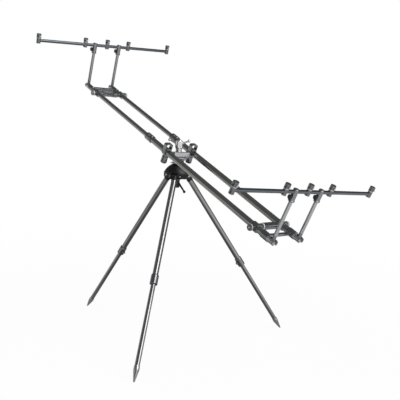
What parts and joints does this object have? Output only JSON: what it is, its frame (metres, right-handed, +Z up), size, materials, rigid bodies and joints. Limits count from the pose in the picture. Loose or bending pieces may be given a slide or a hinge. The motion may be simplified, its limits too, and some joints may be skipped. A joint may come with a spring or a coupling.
{
  "type": "fishing rod pod",
  "caption": "Tripod with a panning and tilting head that carries telescopic rails with, at each end, a bar of threaded bosses for rod rests on hinged uprights.",
  "frame": {"origin": "middle of the footprint of the whole pod's box, on the ground", "axes": "+X along the rails, towards their lower end; +Y across the rails, along the bars; +Z up"},
  "size_m": [1.2063, 0.7852, 1.1028],
  "materials": {
    "anodised_fitting": "turned fitting, near-black anodised, glossy",
    "anodised_tube": "dark gunmetal anodised drawn tube, satin gloss",
    "black_plastic": "moulded, black, slightly glossy",
    "hub_black": "cast, satin black paint",
    "silver_fitting": "machined and polished, clear anodised",
    "steel_bolt": "plated steel fastener"
  },
  "bodies": {
    "hub": {"hub_casting": "hub_black", "leg_pivot_bolts": "steel_bolt", "king_bolt": "steel_bolt"},
    "leg_1": {"leg_knuckle_1": "anodised_fitting", "leg_upper_tube_1": "anodised_tube", "leg_collar_1": "anodised_fitting"},
    "foot_1": {"leg_lower_tube_1": "anodised_tube", "foot_spike_1": "anodised_fitting"},
    "leg_screw_1": {"leg_screw_1": "steel_bolt"},
    "leg_2": {"leg_knuckle_2": "anodised_fitting", "leg_upper_tube_2": "anodised_tube", "leg_collar_2": "anodised_fitting"},
    "foot_2": {"leg_lower_tube_2": "anodised_tube", "foot_spike_2": "anodised_fitting"},
    "leg_screw_2": {"leg_screw_2": "steel_bolt"},
    "leg_3": {"leg_knuckle_3": "anodised_fitting", "leg_upper_tube_3": "anodised_tube", "leg_collar_3": "anodised_fitting"},
    "foot_3": {"leg_lower_tube_3": "anodised_tube", "foot_spike_3": "anodised_fitting"},
    "leg_screw_3": {"leg_screw_3": "steel_bolt"},
    "clamp_lever": {"clamp_lever": "black_plastic"},
    "turntable": {"pan_base": "silver_fitting", "head_block": "silver_fitting"},
    "wing_knob": {"wing_knob": "silver_fitting"},
    "cradle": {"tilt_shaft": "steel_bolt", "rail_clamps": "anodised_fitting"},
    "clamp_knob_near": {"clamp_knob_near": "black_plastic"},
    "clamp_knob_far": {"clamp_knob_far": "black_plastic"},
    "outer_rails": {"outer_rails": "anodised_tube", "rail_collars": "anodised_fitting", "lower_cross_clamps": "anodised_fitting", "lower_crossbar": "anodised_fitting", "lower_end_bridge": "anodised_fitting", "lower_forks": "anodised_fitting", "lower_fork_bolts": "steel_bolt"},
    "rail_screw_near": {"rail_screw_near": "steel_bolt"},
    "rail_screw_far": {"rail_screw_far": "steel_bolt"},
    "inner_rails": {"inner_rails": "anodised_tube", "upper_cross_clamps": "anodised_fitting", "upper_crossbar": "anodised_fitting", "upper_end_bridge": "anodised_fitting", "upper_forks": "anodised_fitting", "upper_fork_bolts": "steel_bolt"},
    "lower_rest_frame": {"lower_upright_eyes": "anodised_fitting", "lower_uprights": "anodised_tube", "lower_connectors": "anodised_fitting", "lower_buzz_bar": "anodised_tube", "lower_rod_bosses": "anodised_fitting"},
    "lower_bar_knob_near": {"lower_bar_knob_near": "black_plastic"},
    "lower_bar_knob_far": {"lower_bar_knob_far": "black_plastic"},
    "upper_rest_frame": {"upper_upright_eyes": "anodised_fitting", "upper_uprights": "anodised_tube", "upper_connectors": "anodised_fitting", "upper_buzz_bar": "anodised_tube", "upper_rod_bosses": "anodised_fitting"},
    "upper_bar_knob_near": {"upper_bar_knob_near": "black_plastic"},
    "upper_bar_knob_far": {"upper_bar_knob_far": "black_plastic"}
  },
  "joints": [
    {"name": "leg_fold_1", "type": "hinge", "parent": "hub", "child": "leg_1", "pos_m": [-0.00842, -0.06958, 0.587], "axis": [0.7638, 0.6455, 0], "range_deg": [0, 35.58]},
    {"name": "foot_slide_1", "type": "slide", "parent": "leg_1", "child": "foot_1", "axis": [0.3756, -0.4444, -0.8133], "range_m": [-0.24, 0]},
    {"name": "leg_screw_turn_1", "type": "hinge", "parent": "leg_1", "child": "leg_screw_1", "pos_m": [0.13146, -0.23511, 0.26005], "axis": [-0.5249, 0.6212, -0.5819], "range_deg": [0, 360]},
    {"name": "leg_fold_2", "type": "hinge", "parent": "hub", "child": "leg_2", "pos_m": [-0.02008, -0.00481, 0.587], "axis": [-0.9409, 0.3387, 0], "range_deg": [0, 35.58]},
    {"name": "foot_slide_2", "type": "slide", "parent": "leg_2", "child": "foot_2", "axis": [0.1971, 0.5475, -0.8133], "range_m": [-0.24, 0]},
    {"name": "leg_screw_turn_2", "type": "hinge", "parent": "leg_2", "child": "leg_screw_2", "pos_m": [0.05333, 0.1991, 0.26005], "axis": [-0.2755, -0.7652, -0.5819], "range_deg": [0, 360]},
    {"name": "leg_fold_3", "type": "hinge", "parent": "hub", "child": "leg_3", "pos_m": [-0.07035, -0.04729, 0.587], "axis": [0.1771, -0.9842, 0], "range_deg": [0, 35.58]},
    {"name": "foot_slide_3", "type": "slide", "parent": "leg_3", "child": "foot_3", "axis": [-0.5727, -0.103, -0.8133], "range_m": [-0.24, 0]},
    {"name": "leg_screw_turn_3", "type": "hinge", "parent": "leg_3", "child": "leg_screw_3", "pos_m": [-0.28364, -0.08567, 0.26005], "axis": [0.8004, 0.144, -0.5819], "range_deg": [0, 360]},
    {"name": "lever_swing", "type": "hinge", "parent": "hub", "child": "clamp_lever", "pos_m": [-0.03295, -0.04056, 0.587], "axis": [0, 0, 1], "range_deg": [-25, 25]},
    {"name": "turntable_turn", "type": "hinge", "parent": "hub", "child": "turntable", "pos_m": [-0.03295, -0.04056, 0.6509], "axis": [0, 0, 1], "continuous": true},
    {"name": "wing_knob_turn", "type": "hinge", "parent": "turntable", "child": "wing_knob", "pos_m": [-0.03295, -0.04056, 0.6619], "axis": [0, 0, 1], "range_deg": [0, 90]},
    {"name": "rail_tilt", "type": "hinge", "parent": "turntable", "child": "cradle", "pos_m": [-0.03295, -0.04056, 0.6619], "axis": [0, 1, 0], "range_deg": [-40, 25]},
    {"name": "clamp_knob_turn_near", "type": "hinge", "parent": "cradle", "child": "clamp_knob_near", "pos_m": [-0.02915, -0.09656, 0.67115], "axis": [0.3795, 0, 0.9252], "range_deg": [0, 360]},
    {"name": "clamp_knob_turn_far", "type": "hinge", "parent": "cradle", "child": "clamp_knob_far", "pos_m": [-0.02915, 0.01544, 0.67115], "axis": [0.3795, 0, 0.9252], "range_deg": [0, 360]},
    {"name": "rail_slide", "type": "slide", "parent": "cradle", "child": "outer_rails", "axis": [0.9252, 0, -0.3795], "range_m": [-0.12, 0.06]},
    {"name": "rail_extend", "type": "slide", "parent": "outer_rails", "child": "inner_rails", "axis": [-0.9252, 0, 0.3795], "range_m": [-0.36, 0]},
    {"name": "rail_screw_turn_near", "type": "hinge", "parent": "outer_rails", "child": "rail_screw_near", "pos_m": [-0.12773, -0.10502, 0.72464], "axis": [0.3108, -0.5736, 0.7579], "range_deg": [0, 360]},
    {"name": "rail_screw_turn_far", "type": "hinge", "parent": "outer_rails", "child": "rail_screw_far", "pos_m": [-0.12773, 0.00698, 0.72464], "axis": [0.3108, -0.5736, 0.7579], "range_deg": [0, 360]},
    {"name": "lower_frame_fold", "type": "hinge", "parent": "outer_rails", "child": "lower_rest_frame", "pos_m": [0.50747, -0.04056, 0.45107], "axis": [0, 1, 0], "range_deg": [-10, 85]},
    {"name": "lower_bar_knob_turn_near", "type": "hinge", "parent": "lower_rest_frame", "child": "lower_bar_knob_near", "pos_m": [0.57248, -0.09656, 0.59049], "axis": [0, 1, 0], "range_deg": [0, 360]},
    {"name": "lower_bar_knob_turn_far", "type": "hinge", "parent": "lower_rest_frame", "child": "lower_bar_knob_far", "pos_m": [0.57008, 0.01544, 0.58535], "axis": [0, 1, 0], "range_deg": [0, 360]},
    {"name": "upper_frame_fold", "type": "hinge", "parent": "inner_rails", "child": "upper_rest_frame", "pos_m": [-0.58891, -0.04056, 0.90072], "axis": [0, 1, 0], "range_deg": [-85, 10]},
    {"name": "upper_bar_knob_turn_near", "type": "hinge", "parent": "upper_rest_frame", "child": "upper_bar_knob_near", "pos_m": [-0.55221, -0.09656, 1.04468], "axis": [0, 1, 0], "range_deg": [0, 360]},
    {"name": "upper_bar_knob_turn_far", "type": "hinge", "parent": "upper_rest_frame", "child": "upper_bar_knob_far", "pos_m": [-0.551, 0.01544, 1.04941], "axis": [0, 1, 0], "range_deg": [0, 360]}
  ]
}
